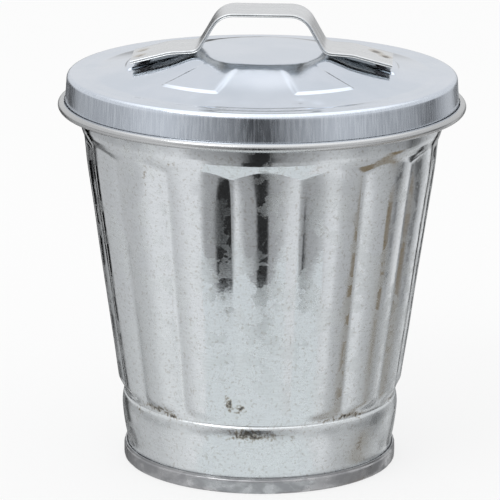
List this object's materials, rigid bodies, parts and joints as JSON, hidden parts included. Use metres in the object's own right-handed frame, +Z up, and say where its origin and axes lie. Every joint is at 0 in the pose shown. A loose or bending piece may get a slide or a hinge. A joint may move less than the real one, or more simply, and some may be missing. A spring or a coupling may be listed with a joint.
{
  "type": "lidded trash can",
  "caption": "Small tabletop trash can of galvanized sheet with a fluted tapering wall, a rolled rim and a domed lift-off lid with a hemmed strap handle.",
  "frame": {"origin": "centre of the standing ring, on the surface the can stands on", "axes": "+Z up along the can's axis, X along the lid's handle, -Y to the front"},
  "size_m": [0.1498, 0.1498, 0.1694],
  "materials": {
    "zinc_wall": "hot-dip zinc with faint spangle",
    "zinc_pan": "dull mottled zinc",
    "lid_sheet": "polished top, drawn lines on the skirt",
    "strap_sheet": "lightly brushed",
    "wire_steel": "plain drawn wire",
    "weld_steel": "spot weld, heat tinted"
  },
  "bodies": {
    "can": {"can_wall": "zinc_wall", "rim_wire": "wire_steel", "bottom_pan": "zinc_pan"},
    "lid": {"lid_shell": "lid_sheet", "lid_bead_wire": "wire_steel", "lid_handle": "strap_sheet", "left_front_weld": "weld_steel", "left_back_weld": "weld_steel", "right_front_weld": "weld_steel", "right_back_weld": "weld_steel"}
  },
  "joints": [
    {"name": "lid_lift", "type": "slide", "parent": "can", "child": "lid", "axis": [0, 0, 1], "range_m": [0, 0.06]}
  ]
}
